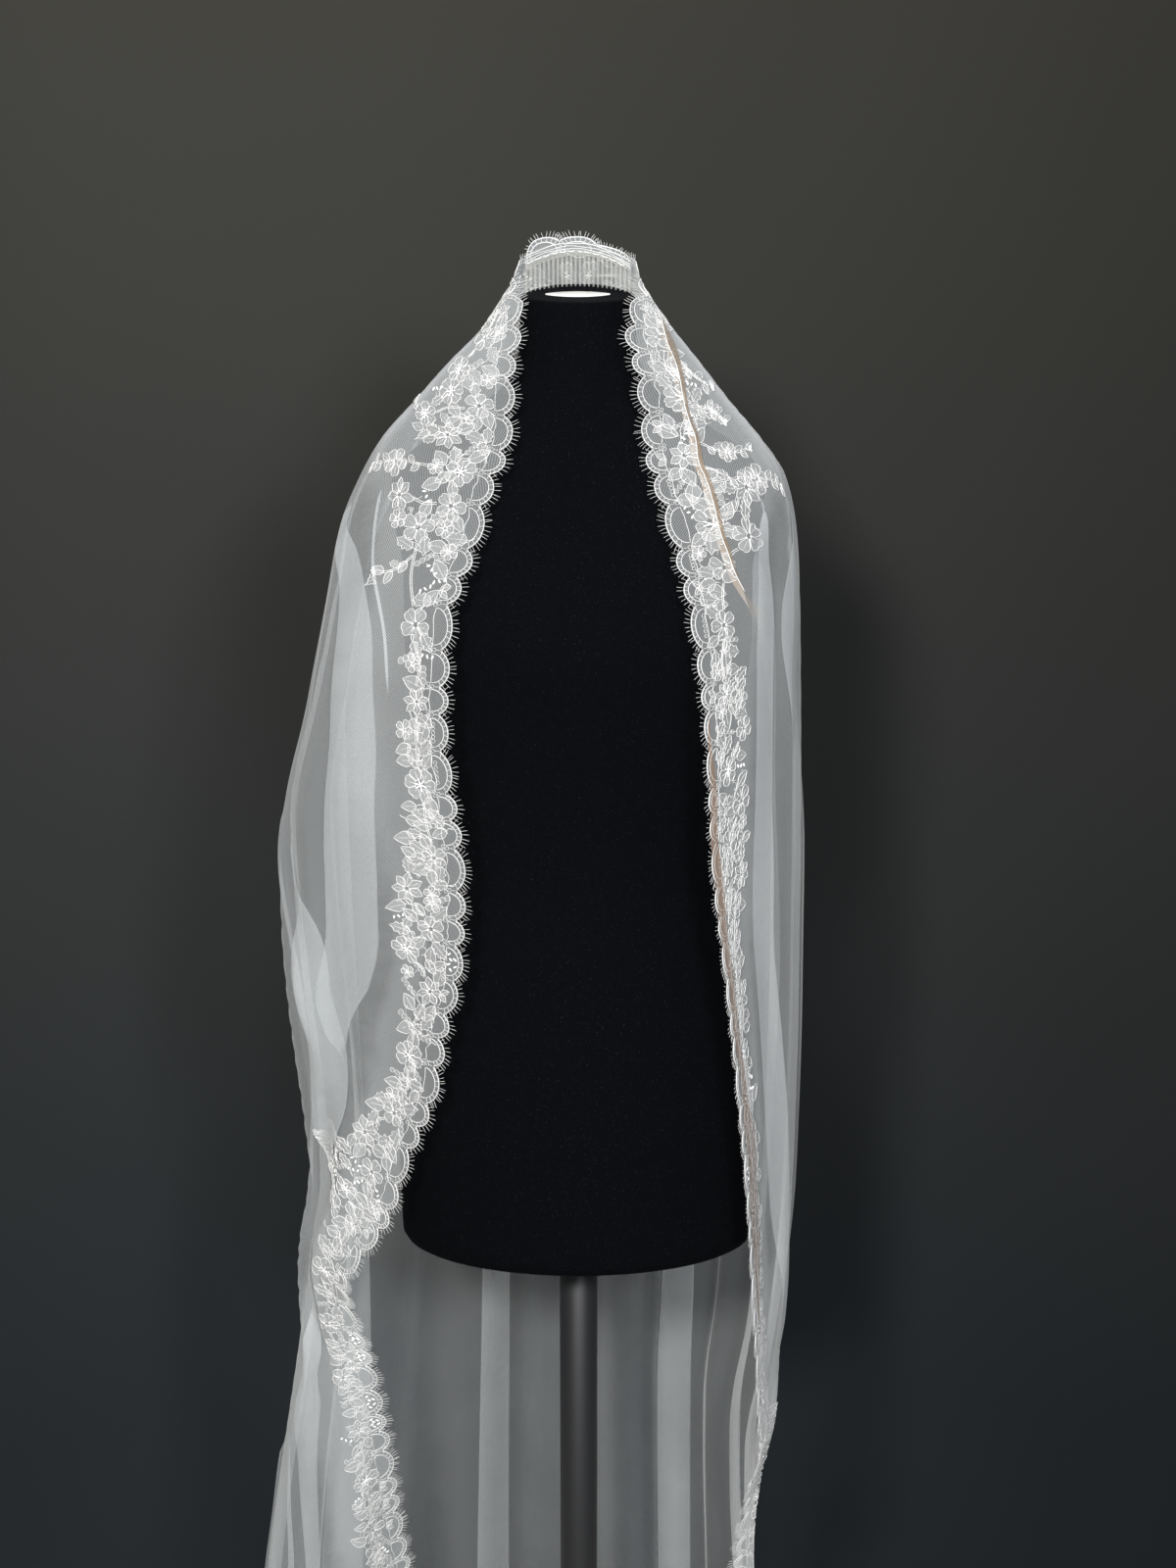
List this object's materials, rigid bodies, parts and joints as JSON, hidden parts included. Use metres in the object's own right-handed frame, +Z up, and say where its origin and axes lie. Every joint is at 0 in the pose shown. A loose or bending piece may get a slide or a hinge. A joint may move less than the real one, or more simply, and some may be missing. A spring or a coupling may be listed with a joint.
{
  "type": "bridal veil on a dress form",
  "caption": "Fine net bridal veil with a wide scalloped lace border, gathered on a clear comb and draped over a limbless velvet dress form with a round foot.",
  "frame": {"origin": "centre of the round foot's underside, where the dress form stands on the floor", "axes": "+Z up along the pole, -Y towards the open front of the veil, +X to the right seen from the front"},
  "size_m": [0.4979, 0.5416, 1.5495],
  "materials": {
    "tulle": "fine off-white net",
    "lace": "corded floral lace on net",
    "clear_plastic": "clear, polished",
    "velvet": "black velvet",
    "cap_plastic": "white, satin",
    "black_metal": "black, satin"
  },
  "bodies": {
    "root": {"comb": "clear_plastic", "form_neck_cap": "cap_plastic", "form_torso": "velvet", "lace_left": "lace", "lace_right": "lace", "lash_left": "lace", "lash_right": "lace", "stand_base": "black_metal", "stand_pole": "black_metal", "veil_tulle": "tulle"}
  },
  "joints": []
}
